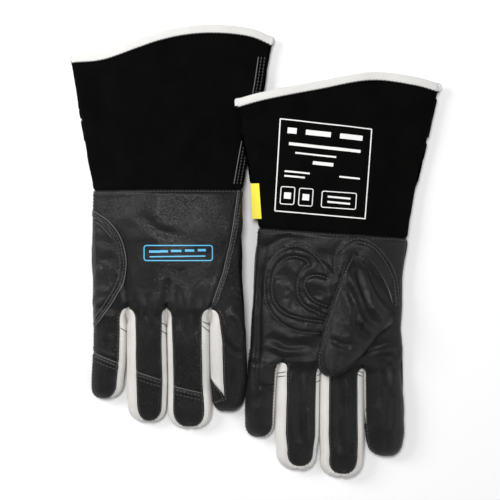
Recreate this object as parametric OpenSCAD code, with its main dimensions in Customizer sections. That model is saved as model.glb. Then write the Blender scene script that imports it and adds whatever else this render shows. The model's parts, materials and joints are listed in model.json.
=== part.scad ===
// A pair of gauntlet welding gloves lying flat: the right glove shows its back, the left glove its palm.
// Every shell is swept from the same section functions, so panels that are sewn together share their edges.

/* [Hand] */
// Half of the flat hand's width
hand_half = 66; // [62:0.5:68]
// Grain leather thickness
leather = 1.2; // [1:0.1:1.4]
// Height of the hand above its middle on the side that lies on the table
rest_h = 8; // [7.5:0.25:8.5]
// Height of the hand above its middle on the side that faces up
crown_h = 11; // [10:0.25:12]

/* [Cuff] */
// Split leather thickness of the cuff
suede = 1.6; // [1.3:0.1:1.8]
// Half of the cuff's width at its opening
cuff_half = 88; // [84:0.5:90]
// Width of the binding round the opening
binding_w = 6; // [4:0.5:8]

/* [Fingers] */
// Finger lengths past the middle knuckle: index, middle, ring, pinky
finger_len = [55, 70, 68, 50]; // [48:1:72]
// Half widths of the finger stalls: index, middle, ring, pinky
finger_half = [16.4, 17.2, 17.2, 13.4]; // [12:0.1:17.5]

/* [Padding] */
// Thickness of the foam under the palm patches
foam = 1.8; // [1:0.1:2]

/* [Hidden] */
RIGHT = 0;
LEFT = 1;

// ---- where each glove lies: x and y of the wrist seam's middle, and its turn about Z ----
wrist_at = [[-77.3, 53.1], [67.7, 15.6]];
wrist_turn = [0, -4];

// ---- sampling ----
turns = 12;                    // steps over the palm's half of a section
hand_rows = [0, -12, -34, -62, -88, -104, -120];
tip_rows = [0.8, 0.92, 0.98, 1]; // past the middle of a finger

// ---- helpers ----
function clamp01(t) = min(1, max(0, t));
function ease(t) = let (c = clamp01(t)) c * c * (3 - 2 * c);
function mix(a, b, t) = a + (b - a) * t;
function spow(v, e) = sign(v) * pow(abs(v), e);
function palm_h(g) = g == LEFT ? crown_h : rest_h;
function back_h(g) = g == LEFT ? rest_h : crown_h;

// ---- the drape: how far each glove is raised off the table at a point of its own plan ----
// The left cuff's outer edge lies on the right cuff. The right hand lies on its own folded thumb.
thumb_lift = 11.5;
cuff_lift = 11;
pad_lift = 2.4;                 // the padded palm keeps off the table
patch_lift = 0.6;               // and so does the side patch under the left hand
function lift(g, x, y) = g == LEFT
    ? cuff_lift * clamp01((-x - 12) / 78) * clamp01(y / 70) + patch_lift * ease((-x - 20) / 15)
    : thumb_lift * ease((x + 50) / 45) * ease((35 - y) / 45) * ease((y + 185) / 60)
        + pad_lift * ease((20 - y) / 30) * ease((y + 135) / 40) * ease((x + 75) / 25);

// A point of a glove's own frame (palm towards +Z) carried to the row frame.
function place(g, p) =
    let (z = rest_h + lift(g, p.x, p.y) + (g == LEFT ? p.z : -p.z),
         c = cos(wrist_turn[g]), s = sin(wrist_turn[g]))
    [wrist_at[g].x + c * p.x - s * p.y, wrist_at[g].y + s * p.x + c * p.y, z];

// ---- the hand: one flat tube from the wrist seam to the middle knuckles ----
hand_n = 2.2;
flat = 1.05;                    // a section lies flat where its curve would pass its full height
function level(t) = let (v = flat * spow(sin(t), 2 / hand_n)) sign(v) * min(1, abs(v));
function edge_pinky(y) = lookup(-y, [[0, -hand_half], [70, -hand_half], [112, 2 - hand_half],
                                     [140, 2.4 - hand_half]]);
function edge_index(y) = lookup(-y, [[0, hand_half], [85, hand_half], [112, hand_half + 2],
                                     [140, hand_half + 3.6]]);
function hand_mid(y) = (edge_pinky(y) + edge_index(y)) / 2;
function hand_w(y) = (edge_index(y) - edge_pinky(y)) / 2;
function hand_z(g, t) = sin(t) >= 0 ? palm_h(g) : back_h(g);
// d is the depth under the outer surface, t the angle round the section with 90 at the palm.
function hand_pt(g, t, y, d) =
    [hand_mid(y) + (hand_w(y) - d) * spow(cos(t), 2 / hand_n), y, (hand_z(g, t) - d) * level(t)];
// Height of the palm's outer surface over the plan.
function palm_z(g, x, y) =
    let (q = min(0.999, abs((x - hand_mid(y)) / hand_w(y))))
    palm_h(g) * min(1, flat * pow(1 - pow(q, hand_n), 1 / hand_n));

// ---- fingers, index first: the knuckle's place and the direction per glove ----
INDEX = 0;
PINKY = 3;
knuckle_x = [53, 18, -17.5, -49.5];
knuckle_y = [-135, -139.5, -138.5, -133];
splay = [[4, 1, 0, -4.5], [4, 6, 3, -3.5]];
finger_n = 2.2;
knuckle_gap = 0.6;
// The hand's front edge, just behind the knuckles.
function hand_end(x) = lookup(x, [[-70, -131.6], [-49.5, -132], [-34, -132.6], [-17.5, -137.2],
                                  [18, -138.2], [36, -132.8], [53, -133.2], [72, -131.8]]);
function tip_shape(u) = u < 0.72 ? 1 : max(0.03, sqrt(1 - pow((u - 0.72) / 0.28, 2)));
tip_droop = 3;
// s runs from 0 at the knuckle to 1 at the tip.
function finger_pt(g, i, t, s, d) =
    let (a = splay[g][i], len = finger_len[i], k = tip_shape(s),
         w = max(0.25, finger_half[i] * k - d), along = knuckle_gap + s * (len - knuckle_gap - d),
         h = max(0.2, 0.88 * hand_z(g, t) * mix(1, 0.86, s) * k - d),
         q = w * spow(cos(t), 2 / finger_n))
    [knuckle_x[i] + along * sin(a) + q * cos(a), knuckle_y[i] - along * cos(a) + q * sin(a),
     h * spow(sin(t), 2 / finger_n) + (g == LEFT ? -1 : 1) * tip_droop * ease((s - 0.6) / 0.4)];

// ---- the thumb: a flat stall folded across the palm, hinged along its base line ----
// Each pair is the stall's far edge and near edge, from the base line to the tip.
thumb_edges = [[[19, -15], [60, -65]], [[9, -33], [55, -74]], [[3, -53], [47, -84]],
               [[-1, -72], [40, -93]], [[-4, -90], [31, -103]], [[-5, -104], [23, -112]],
               [[-2, -116], [14, -120]], [[5, -122.4], [7, -122.8]]];
thumb_thick = [9.5, 10.5];
thumb_clear = foam + 1 + 0.8;   // the palm patches lie under it
thumb_n = 2;
function thumb_pt(g, t, k, d) =
    let (far = thumb_edges[k][0], near = thumb_edges[k][1], half = norm(near - far) / 2,
         shrink = max(0.12, (half - d) / half),
         q = spow(cos(t), 2 / thumb_n) * shrink,
         p = (far + near) / 2 + (near - far) / 2 * q,
         h = max(0.25, thumb_thick[g] / 2 * (k > 6 ? 0.1 : k > 5 ? 0.75 : 1) - d))
    [p.x, p.y, palm_z(g, p.x, p.y) + thumb_clear + thumb_thick[g] / 2 + h * spow(sin(t), 2 / thumb_n)];

// ---- the cuff: a flared flat tube from the wrist seam to a shaped opening ----
cuff_n = 1.6;
cuff_lean = [4.8, -4.4];
cuff_low = [118, 110.5];        // opening height at the pinky edge, past the wrist seam
cuff_peak = [143, 141];
cuff_high = [134, 136.5];       // and at the index edge
cuff_rest = 6;                  // half thickness at the opening, table side
cuff_crown = 12;                // and the side that faces up
function cuff_top(g, q) = cuff_low[g] + (cuff_peak[g] - cuff_low[g]) * ease((q + 0.95) / 1.2)
    - (cuff_peak[g] - cuff_high[g]) * pow(clamp01((q - 0.25) / 0.75), 1.6);
function cuff_h(g, t, v) = let (up = (sin(t) >= 0) == (g == LEFT))
    mix(hand_z(g, t), up ? cuff_crown : cuff_rest, v);
function cuff_pt(g, t, v, d) =
    let (n = mix(hand_n, cuff_n, ease(v * 2)), c = spow(cos(t), 2 / n),
         w = mix(hand_half, cuff_half, v) - d)
    [cuff_lean[g] * v + w * c, v * (cuff_top(g, c) - binding_w / 3),
     (cuff_h(g, t, v) - d) * spow(sin(t), 2 / n)
     // the table side stays on the table as the cuff gets flatter
     + (g == LEFT ? -1 : 1) * mix(0, rest_h - cuff_rest - binding_t - 2 * inset, v)];

// ---- solids ----
// A closed solid between two grids of the same size, rows of points from the outer skin and from the inner one.
// Every face is split along the same diagonal on both solids that share it, so neighbours meet without overlap.
module slab(g, outer, inner) {
    rows = len(outer);
    cols = len(outer[0]);
    n = rows * cols;
    function at(layer, r, c) = layer * n + r * cols + c;
    points = [for (layer = [outer, inner]) for (row = layer) for (p = row) place(g, p)];
    // the skin's own normal tells which way round the faces go
    mid = at(0, floor(rows / 2) - (rows > 2 ? 0 : 1), floor(cols / 2) - (cols > 2 ? 0 : 1));
    along = points[mid + 1] - points[mid];
    down = points[mid + cols] - points[mid];
    outward = cross(along, down) * (points[mid] - points[mid + n]) > 0;
    skin = [for (r = [0:rows - 2]) for (c = [0:cols - 2])
        [at(0, r, c), at(0, r, c + 1), at(0, r + 1, c + 1), at(0, r + 1, c)]];
    lining = [for (f = skin) [for (k = [0, 3, 2, 1]) f[k] + n]];
    ends = [for (c = [0:cols - 2]) each [
        [at(0, 0, c), at(1, 0, c), at(1, 0, c + 1), at(0, 0, c + 1)],
        [at(1, rows - 1, c + 1), at(1, rows - 1, c), at(0, rows - 1, c), at(0, rows - 1, c + 1)]]];
    sides = [for (r = [0:rows - 2]) each [
        [at(0, r + 1, 0), at(1, r + 1, 0), at(1, r, 0), at(0, r, 0)],
        [at(1, r, cols - 1), at(1, r + 1, cols - 1), at(0, r + 1, cols - 1), at(0, r, cols - 1)]]];
    quads = concat(skin, lining, ends, sides);
    polyhedron(points, [for (q = quads) each outward
        ? [[q[2], q[1], q[0]], [q[3], q[2], q[0]]] : [[q[0], q[1], q[2]], [q[0], q[2], q[3]]]]);
}

// A closed ring swept from a list of profiles, each a closed loop of points.
module ring(g, profiles) {
    n = len(profiles);
    m = len(profiles[0]);
    points = [for (loop = profiles) for (p = loop) place(g, p)];
    function at(i, j) = (i % n) * m + j % m;
    facets = [for (i = [0:n - 1]) for (j = [0:m - 1]) each [
        [at(i, j), at(i, j + 1), at(i + 1, j + 1)], [at(i, j), at(i + 1, j + 1), at(i + 1, j)]]];
    polyhedron(points, g == LEFT ? facets : [for (f = facets) [f[2], f[1], f[0]]]);
}

function angles(from, to, steps) = [for (k = [0:steps]) mix(from, to, k / steps)];

// ---- the slits between the stalls, from the crotch forwards ----
fork_x = [35.6, 0.3, -34.2];
crotch_y = -112;
slit_w = 1;
function slit_wall(x) = [for (y = [crotch_y, crotch_y - 35]) [for (z = [-20, 20]) [x, y, z]]];
module slit(g, k) slab(g, slit_wall(fork_x[k] - slit_w / 2), slit_wall(fork_x[k] + slit_w / 2));

// ---- hand and cuff panels ----
function hand_grid(g, ts, ys, d) = [for (y = ys) [for (t = ts) hand_pt(g, t, y, d)]];
function hand_front(g, ts, d) =
    [for (t = ts) let (p = hand_pt(g, t, -132, d)) hand_pt(g, t, hand_end(p.x), d)];
module hand_panel(g, from, to) {
    ts = angles(from, to, turns);
    difference() {
        slab(g, concat(hand_grid(g, ts, hand_rows, 0), [hand_front(g, ts, 0)]),
             concat(hand_grid(g, ts, hand_rows, leather), [hand_front(g, ts, leather)]));
        for (k = [0:2]) slit(g, k);
    }
}
module back_panel(g) color("#2b2b2a") hand_panel(g, 180, 360);

// The palm panel has the thumb's hole beside the base line.
module thumb_hole(g) {
    along = [thumb_edges[0][1] - thumb_edges[0][0], thumb_edges[1][1] - thumb_edges[1][0]];
    plan = [thumb_edges[0][0] + 0.2 * along[0], thumb_edges[0][0] + 0.72 * along[0],
            thumb_edges[1][0] + 0.72 * along[1], thumb_edges[1][0] + 0.2 * along[1]];
    slab(g, [for (p = [plan[0], plan[1]]) [[p.x, p.y, 1.5], [p.x, p.y, palm_h(g) + 3]]],
         [for (p = [plan[3], plan[2]]) [[p.x, p.y, 1.5], [p.x, p.y, palm_h(g) + 3]]]);
}
module palm_panel(g) color("#2b2b2a") difference() {
    hand_panel(g, 0, 180);
    thumb_hole(g);
}

binding_from = 1 - binding_w / 130;
cuff_rows = [0, 0.25, 0.5, 0.75, binding_from, 1];
module cuff_panel(g, from, to) {
    ts = angles(from, to, turns);
    slab(g, [for (v = cuff_rows) [for (t = ts) cuff_pt(g, t, v, 0)]],
         [for (v = cuff_rows) [for (t = ts) cuff_pt(g, t, v, suede)]]);
}
module cuff_palm(g) color("#0f0f0f") cuff_panel(g, 180, 0);
module cuff_back(g) color("#0f0f0f") cuff_panel(g, 360, 180);

// The binding wraps the edge of both cuff panels.
binding_t = 0.9;
inset = 0.08;                   // it clears the panels it is sewn to
function over(g, t, v, d, y) = let (p = cuff_pt(g, t, v, d)) [p.x, p.y + y, p.z];
module cuff_binding(g) color("#eae7e2")
    ring(g, [for (k = [0:2 * turns - 1]) let (t = k * 180 / turns) [
        over(g, t, binding_from, -inset, 0), over(g, t, 1, -inset, inset),
        over(g, t, 1, suede + inset, inset), over(g, t, binding_from, suede + inset, 0),
        over(g, t, binding_from, suede + inset + binding_t, 0),
        over(g, t, 1, suede + inset + binding_t, binding_t),
        over(g, t, 1, -inset - binding_t, binding_t), over(g, t, binding_from, -inset - binding_t, 0)]]);

// ---- patches: they lie on cells of the hand panels, so they fit them exactly ----
function patch_depth(r, c, rows, cols, edge, middle) =
    (r == 0 || c == 0 || r == rows - 1 || c == cols - 1) ? edge : middle;
function patch_grid(g, ts, ys, edge, middle) =
    [for (r = [0:len(ys) - 1]) [for (c = [0:len(ts) - 1])
        hand_pt(g, ts[c], ys[r], -patch_depth(r, c, len(ys), len(ts), edge, middle))]];
foam_edge = 0.4;
heel_ts = angles(90, 150, 4);
thenar_ts = angles(30, 75, 3);
heel_ys = [-12, -34, -62, -88];
thenar_ys = [-12, -34];
module patch_leather(g, ts, ys)
    slab(g, patch_grid(g, ts, ys, foam_edge + leather, foam + leather),
         patch_grid(g, ts, ys, foam_edge, foam));
module patch_foam(g, ts, ys)
    slab(g, patch_grid(g, ts, ys, foam_edge, foam), patch_grid(g, ts, ys, 0, 0));
module heel_pad(g) color("#2b2b2a") patch_leather(g, heel_ts, heel_ys);
module thenar_pad(g) color("#2b2b2a") patch_leather(g, thenar_ts, thenar_ys);
module palm_foam(g) color("#8a8a86") {
    patch_foam(g, heel_ts, heel_ys);
    patch_foam(g, thenar_ts, thenar_ys);
}
side_ts = angles(180, 240, 4);
side_ys = [-12, -34, -62, -88, -104, -120];
module side_patch(g) color("#2b2b2a")
    slab(g, patch_grid(g, side_ts, side_ys, leather, leather), patch_grid(g, side_ts, side_ys, 0, 0));

// ---- fourchettes: forks between the stalls on the hand, strips beside the fingers ----
fork_ys = [-108, -116, -124, -131.6];
fork_t = 2 * leather + slit_w;
fork_clear = leather + 0.9;
function inside(g, x, y, up) = let (q = abs((x - hand_mid(y)) / (hand_w(y) - fork_clear)),
    z = (up ? palm_h(g) : back_h(g)) - fork_clear)
    (up ? 1 : -1) * z * min(1, flat * pow(1 - pow(q, hand_n), 1 / hand_n));
function fork_wall(g, x) = [for (y = fork_ys) [for (f = [0:3])
    [x, y, mix(inside(g, x, y, true), inside(g, x, y, false), f / 3)]]];
module fork(g, k) color("#eae7e2") difference() {
    slab(g, fork_wall(g, fork_x[k] - fork_t / 2), fork_wall(g, fork_x[k] + fork_t / 2));
    slit(g, k);
}

// Panel edges round a stall, in degrees: the strip takes the side, the palm and back panels the rest.
strip = 45;
// Where the back panel ends and the fingertip cap starts. All panels of a finger share its rows.
cap_from = [0.4, 0.52, 0.4, 0.4];
module stall(g, i, from, to, steps, s0 = 0, s1 = 1) {
    ts = angles(to, from, steps);
    rows = [for (s = concat([0, cap_from[i] / 2, cap_from[i], cap_from[i] / 2 + 0.33], tip_rows))
        if (s >= s0 && s <= s1) s];
    slab(g, [for (s = rows) [for (t = ts) finger_pt(g, i, t, s, 0)]],
         [for (s = rows) [for (t = ts) finger_pt(g, i, t, s, leather)]]);
}
module index_stall(g) color("#2b2b2a") stall(g, INDEX, -180 + strip, 180 - strip, 10);
module finger_palm(g, i) color("#2b2b2a") stall(g, i, strip, i == PINKY ? 180 : 180 - strip, i == PINKY ? 6 : 4);
module finger_back(g, i) color("#2b2b2a")
    stall(g, i, i == PINKY ? 180 : 180 + strip, 360 - strip, i == PINKY ? 6 : 4, s1 = cap_from[i]);
module finger_cap(g, i) color("#2b2b2a")
    stall(g, i, i == PINKY ? 180 : 180 + strip, 360 - strip, i == PINKY ? 6 : 4, s0 = cap_from[i]);
module fourchette(g, i) color("#eae7e2") {
    if (i != INDEX) stall(g, i, -strip, strip, 4);
    if (i != PINKY) stall(g, i, 180 - strip, 180 + strip, 4);
}

// ---- thumb ----
thumb_open = 1;                 // the side against the palm starts one row past the base line
module thumb_side(g, from, to, first) {
    ts = angles(to, from, 8);
    ks = [for (k = [first:len(thumb_edges) - 1]) k];
    slab(g, [for (k = ks) [for (t = ts) thumb_pt(g, t, k, 0)]],
         [for (k = ks) [for (t = ts) thumb_pt(g, t, k, leather)]]);
}
module thumb_back(g) color("#2b2b2a") thumb_side(g, 0, 180, 0);
module thumb_palm(g) color("#2b2b2a") thumb_side(g, 180, 360, thumb_open);
// The welt stands out of the seam along the thumb's far edge.
welt_out = 2;
welt_half = 0.7;
function welt_edge(g, k, out, up) =
    let (p = thumb_pt(g, 180, k, 0), u = thumb_edges[k][0] - thumb_edges[k][1], v = u / norm(u))
    [p.x + v.x * out, p.y + v.y * out, p.z + up];
function welt_face(g, up) = [for (k = [0:len(thumb_edges) - 2])
    [welt_edge(g, k, welt_out, up), welt_edge(g, k, 0.02, up)]];
module thumb_welt(g) color("#2b2b2a") slab(g, welt_face(g, welt_half), welt_face(g, -welt_half));

// ---- the sewn-in tab on the left cuff's outer seam ----
tab_len = 27;
tab_w = 7;
tab_at = 12;
tab_half = 0.4;
function tab_face(up) = [for (y = [tab_at, tab_at + tab_len])
    let (p = cuff_pt(LEFT, 180, y / cuff_low[LEFT], 0))
    [[p.x - tab_w, p.y, p.z + up], [p.x - 0.05, p.y, p.z + up]]];
module seam_tab() color("#f2e84a") slab(LEFT, tab_face(tab_half), tab_face(-tab_half));

// ---- nodes ----
SIDES = ["right", "left"];
FINGERS = ["index", "middle", "ring", "pinky"];
FORKS = ["index_middle_fork", "middle_ring_fork", "ring_pinky_fork"];
HAND = ["back_panel", "palm_panel", "cuff_back", "cuff_palm", "cuff_binding", "heel_pad", "thenar_pad",
        "palm_foam", "side_patch", "thumb_back", "thumb_palm", "thumb_welt", "index_stall"];

module hand_part(g, name) {
    if (name == "back_panel") back_panel(g);
    if (name == "palm_panel") palm_panel(g);
    if (name == "cuff_back") cuff_back(g);
    if (name == "cuff_palm") cuff_palm(g);
    if (name == "cuff_binding") cuff_binding(g);
    if (name == "heel_pad") heel_pad(g);
    if (name == "thenar_pad") thenar_pad(g);
    if (name == "palm_foam") palm_foam(g);
    if (name == "side_patch") side_patch(g);
    if (name == "thumb_back") thumb_back(g);
    if (name == "thumb_palm") thumb_palm(g);
    if (name == "thumb_welt") thumb_welt(g);
    if (name == "index_stall") index_stall(g);
}

for (g = [RIGHT, LEFT]) {
    for (n = HAND) hand_part(g, n);
    for (k = [0:2]) fork(g, k);
    for (i = [0:3])
        fourchette(g, i);
    for (i = [1:3]) {
        finger_palm(g, i);
        finger_back(g, i);
        finger_cap(g, i);
    }
}
seam_tab();  // left_seam_tab
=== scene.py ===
import json
import math
import bpy
import numpy as np
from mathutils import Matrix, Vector
from mathutils.bvhtree import BVHTree


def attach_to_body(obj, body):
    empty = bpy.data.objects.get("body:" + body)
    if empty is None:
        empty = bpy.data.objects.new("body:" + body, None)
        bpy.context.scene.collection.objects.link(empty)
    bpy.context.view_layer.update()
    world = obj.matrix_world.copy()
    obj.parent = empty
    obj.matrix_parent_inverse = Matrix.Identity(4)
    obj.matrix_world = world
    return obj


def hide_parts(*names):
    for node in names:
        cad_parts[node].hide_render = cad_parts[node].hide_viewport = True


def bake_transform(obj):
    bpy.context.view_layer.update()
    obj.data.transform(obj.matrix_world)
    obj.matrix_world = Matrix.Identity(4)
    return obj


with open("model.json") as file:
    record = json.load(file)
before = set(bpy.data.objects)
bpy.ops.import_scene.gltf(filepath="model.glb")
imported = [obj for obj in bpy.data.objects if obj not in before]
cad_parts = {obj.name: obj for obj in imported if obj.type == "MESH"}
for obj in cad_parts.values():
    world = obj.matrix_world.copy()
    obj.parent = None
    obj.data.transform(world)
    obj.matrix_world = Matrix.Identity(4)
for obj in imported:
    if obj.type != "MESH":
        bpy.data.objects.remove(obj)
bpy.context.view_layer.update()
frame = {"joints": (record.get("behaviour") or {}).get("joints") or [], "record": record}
record = frame["record"]
joints = {j["name"]: j for j in frame["joints"]}

# ---- the gloves' own frames, in mm
# x runs to the index side, y towards the cuff with 0 at the wrist seam, z towards the palm.
MM = 0.001
RIGHT, LEFT = 0, 1
SIDES = ["right", "left"]
FINGERS = ["index", "middle", "ring", "pinky"]
INDEX, MIDDLE, RING, PINKY = range(4)
BACK, PALM = -1, 1
REST_H, CROWN_H = 8.0, 11.0
KNUCKLE = np.array([18.0, -139.5])          # the middle finger's hinge in the glove's own frame
mounts = {m["name"]: m for m in record["mounts"]}


def smooth(t):
    t = np.clip(t, 0, 1)
    return t * t * (3 - 2 * t)


def unit(v):
    """Vectors scaled to length 1."""
    return v / np.maximum(np.linalg.norm(v, axis=-1, keepdims=True), 1e-9)


def run_along(p):
    """Length from the first point of a line to each of its points."""
    return np.concatenate([[0], np.cumsum(np.linalg.norm(np.diff(p, axis=0), axis=1))])


def points_at(at, run, p):
    """Points of a line at given lengths, where run is the length up to each of the points p."""
    return np.stack([np.interp(at, run, p[:, k]) for k in range(p.shape[1])], -1)


def joined(blocks):
    """Vertices and quads of several grids as one array each."""
    verts, quads, base = [], [], 0
    for v, q in blocks:
        verts.append(v)
        quads.append(q + base)
        base += len(v)
    return np.concatenate(verts), np.concatenate(quads)


def own_frame(g):
    """Where a glove lies in the plan, and its turn, from the cuff's mount and the middle finger's hinge."""
    ax = mounts[SIDES[g] + "_cuff_opening"]["axis"]
    turn = math.atan2(-ax[0], ax[1])
    rot = np.array([[math.cos(turn), -math.sin(turn)], [math.sin(turn), math.cos(turn)]])
    at = np.array(joints[SIDES[g] + "_middle_bend"]["pos_m"][:2]) / MM - rot @ KNUCKLE
    return at, rot


FRAMES = [own_frame(g) for g in (RIGHT, LEFT)]


def lift(g, x, y):
    """How far a point of the plan is raised off the table."""
    if g == LEFT:
        over = 11 * np.clip((-x - 12) / 78, 0, 1) * np.clip(y / 70, 0, 1)
        return over + 0.6 * smooth((-x - 20) / 15)
    thumb = 11.5 * smooth((x + 50) / 45) * smooth((35 - y) / 45) * smooth((y + 185) / 60)
    return thumb + 2.4 * smooth((20 - y) / 30) * smooth((y + 135) / 40) * smooth((x + 75) / 25)


def place(g, p):
    """Points of a glove's own frame, in mm, to the row frame in metres."""
    at, rot = FRAMES[g]
    p = np.asarray(p, float)
    xy = p[..., :2] @ rot.T + at
    z = REST_H + lift(g, p[..., 0], p[..., 1]) + (p[..., 2] if g == LEFT else -p[..., 2])
    return np.concatenate([xy, z[..., None]], -1) * MM


def half_h(g, face):
    return CROWN_H if (face == PALM) == (g == LEFT) else REST_H


# ---- noise and creases
def hashed(ix, iy, seed):
    h = (ix.astype(np.int64) * 374761393 + iy.astype(np.int64) * 668265263 + seed * 974634777) & 0xFFFFFFFF
    h = ((h ^ (h >> 13)) * 1274126177) & 0xFFFFFFFF
    return ((h ^ (h >> 16)) & 0xFFFF) / 32767.5 - 1


def noise(x, y, scale, seed):
    x, y = x / scale, y / scale
    ix, iy = np.floor(x), np.floor(y)
    u, v = smooth(x - ix), smooth(y - iy)
    a, b = hashed(ix, iy, seed), hashed(ix + 1, iy, seed)
    c, d = hashed(ix, iy + 1, seed), hashed(ix + 1, iy + 1, seed)
    return (a * (1 - u) + b * u) * (1 - v) + (c * (1 - u) + d * u) * v


def away(x, y, pts):
    """Distance in the plan from a polyline, and how far along it."""
    pts = np.asarray(pts, float)
    seg = np.linalg.norm(np.diff(pts, axis=0), axis=1)
    total, run = seg.sum(), 0.0
    best, along = np.full(np.shape(x), 1e9), np.zeros(np.shape(x))
    for a, b, length in zip(pts[:-1], pts[1:], seg):
        t = np.clip(((x - a[0]) * (b[0] - a[0]) + (y - a[1]) * (b[1] - a[1])) / length ** 2, 0, 1)
        d = np.hypot(x - a[0] - t * (b[0] - a[0]), y - a[1] - t * (b[1] - a[1]))
        near = d < best
        best, along = np.where(near, d, best), np.where(near, (run + t * length) / total, along)
        run += length
    return best, along


def spline(pts, step):
    """A smooth curve through points, sampled evenly."""
    p = np.asarray(pts, float)
    ext = np.vstack([2 * p[0] - p[1], p, 2 * p[-1] - p[-2]])
    out = []
    for k in range(1, len(ext) - 2):
        a, b, c, d = ext[k - 1:k + 3]
        for t in np.linspace(0, 1, 24, endpoint=False):
            out.append(0.5 * (2 * b + (c - a) * t + (2 * a - 5 * b + 4 * c - d) * t ** 2
                              + (3 * b - a - 3 * c + d) * t ** 3))
    out = np.array(out + [p[-1]])
    s = run_along(out)
    n = max(2, int(round(s[-1] / step)) + 1)
    return points_at(np.linspace(0, s[-1], n), s, out)


# Creases of both gloves, by face: points of the plan, depth and half width in mm.
CREASES = {BACK: [
    ([(-38, -66), (-37, -84), (-35, -100)], 1.0, 3.0),
    ([(-30, -88), (-24, -104), (-22, -122)], 0.9, 2.6),
    ([(-14, -90), (-16, -108), (-13, -126)], 0.7, 2.6),
    ([(2, -78), (1, -92), (-1, -102)], 0.9, 2.8),
    ([(10, -84), (14, -100), (12, -120)], 0.7, 2.6),
    ([(26, -86), (24, -106), (28, -122)], 0.7, 2.6),
    ([(-20, -20), (-8, -34), (12, -40)], 0.6, 4.0),
    ([(50, -104), (58, -116), (62, -134)], 0.7, 3.0),
    ([(48, -128), (56, -138), (66, -142)], 0.6, 2.6),
], PALM: [
    ([(16, -30), (38, -44), (54, -62)], 1.5, 3.2),
    ([(20, -46), (36, -58), (48, -76)], 1.3, 3.0),
    ([(-60, -20), (-48, -10), (-34, -5)], 0.8, 3.4),
    ([(-52, -92), (-34, -100), (-12, -99)], 1.2, 3.6),
    ([(-54, -104), (-40, -110), (-26, -112)], 0.7, 3.0),
    ([(24, -102), (40, -98), (58, -90)], 1.0, 3.6),
    ([(44, -108), (54, -104), (66, -102)], 0.8, 3.0),
    ([(-56, -136), (-50, -139), (-44, -138)], 0.8, 2.2),
    ([(-58.5, -8), (-59.5, -60), (-59, -110), (-60, -160)], 1.2, 2.2),
    ([(-22, -124), (-20, -150), (-17, -185)], 0.9, 3.2),
    ([(14, -126), (17, -155), (20, -190)], 0.9, 3.2),
    ([(54, -100), (57, -130), (60, -170)], 0.9, 3.6),
]}
CUFF_FOLDS = {BACK: [
    ([(-50, 4), (-56, 40), (-66, 90)], 1.2, 9),
    ([(-10, 2), (-12, 40), (-4, 100)], 1.0, 11),
    ([(34, 2), (40, 40), (58, 110)], 1.2, 9),
], PALM: [
    ([(-44, 2), (-52, 44), (-66, 96)], 1.1, 9),
    ([(40, 2), (46, 46), (60, 110)], 1.2, 9),
    ([(2, 2), (2, 16), (8, 30)], 0.8, 7),
]}


def relief(g, face, x, y, lines, soft=1.0):
    """Displacement along the outward normal: broad swells, wrinkles across the hand, and the set creases."""
    seed = 11 + 7 * g + (3 if face == PALM else 0)
    wx = x + 5 * noise(x, y, 24, seed + 1)
    wy = y + 5 * noise(x, y, 24, seed + 2)
    d = 1.4 * noise(wx, wy, 30, seed) + 0.45 * noise(wx, wy * 1.4, 15, seed + 3)
    d += 0.16 * (0.5 - np.abs(noise(wx * 1.5, wy, 8, seed + 4)))
    d = d * soft
    for pts, depth, w in lines[face]:
        r, s = away(wx * 0.4 + x * 0.6, wy * 0.4 + y * 0.6, pts)
        fade = np.clip(s * (1 - s) * 6, 0, 1) ** 0.7
        d += 1.35 * fade * depth * (-np.exp(-(r / w) ** 2) + 0.45 * np.exp(-((r - 1.9 * w) / w) ** 2))
    return d


# ---- the hand and fingers as surfaces
HAND_N, FINGER_N = 2.2, 2.3
CROTCH_BACK, CROTCH_PALM = -103.5, -116.0
# Per finger: y, left edge, right edge down the stall, and the tip.
STALLS = [
    [([(-100, 37.5, 66.5), (-124, 37.3, 68.5), (-145, 37.5, 70), (-167, 38, 70.3), (-182, 39, 68)],
      (52, -195.5)),
     ([(-100, -0.5, 37.5), (-138, 0.3, 37.2), (-167, 0.4, 37.4), (-190, 0, 39)], (20, -210)),
     ([(-100, -35.5, -0.5), (-138, -36, -0.2), (-167, -36, 0), (-188, -35.5, -1)], (-17.5, -204.5)),
     ([(-100, -65.5, -35.5), (-124, -64.5, -35.7), (-138, -65, -36.3), (-152, -66.5, -37), (-168, -67, -39)],
      (-55, -183))],
    [([(-100, 36, 68.5), (-125, 36.8, 70.5), (-150, 38.8, 73.5), (-171, 41, 75), (-180, 42.5, 74.5)],
      (60, -193)),
     ([(-100, -1.5, 36), (-125, -2.2, 36.5), (-150, -0.8, 38.4), (-178, 1, 40.8), (-194, 3, 41.5)],
      (22.5, -215)),
     ([(-100, -38, -1.5), (-125, -40.2, -2.5), (-150, -39.8, -1.2), (-178, -38.5, 0.4), (-192, -36, -0.6)],
      (-16, -211)),
     ([(-100, -65, -38), (-127, -64.8, -40.4), (-142, -66.5, -40.4), (-160, -65.5, -40), (-170, -65, -39.6)],
      (-52, -184))],
]
CLOSE_LEN = [17, 18, 18, 14]
# The white strip's visible width at each stall's left and right, on the back and on the palm.
WHITE = {BACK: [(11, 0), (4.6, 6.2), (8.8, 3.4), (0, 5.2)], PALM: [(0.8, 0), (7.6, 6.0), (9.4, 2.6), (0, 0.8)]}
RIM = {BACK: [0, 1.6, 1.6, 0.5], PALM: [0.7, 4.6, 4.6, 0.8]}   # and round the tip
LENS = (-150.0, -182.0)                     # where the index stall's white closes
# The lines where the stalls' strips of leather meet behind the crotches, from the wrist forwards.
JOINS = {BACK: [[(0, 62.5), (-48, 55), (-72, 49.5), (-103.5, 38)], [(0, 4), (-50, 2), (-103.5, -0.6)],
                [(0, -32), (-50, -34), (-103.5, -35.6)]],
         PALM: [[(0, 34), (-50, 34), (-103.5, 36.5)], [(0, 2), (-50, 1), (-103.5, -1.2)],
                [(0, -34), (-50, -36), (-103.5, -37.4)]]}


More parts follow.
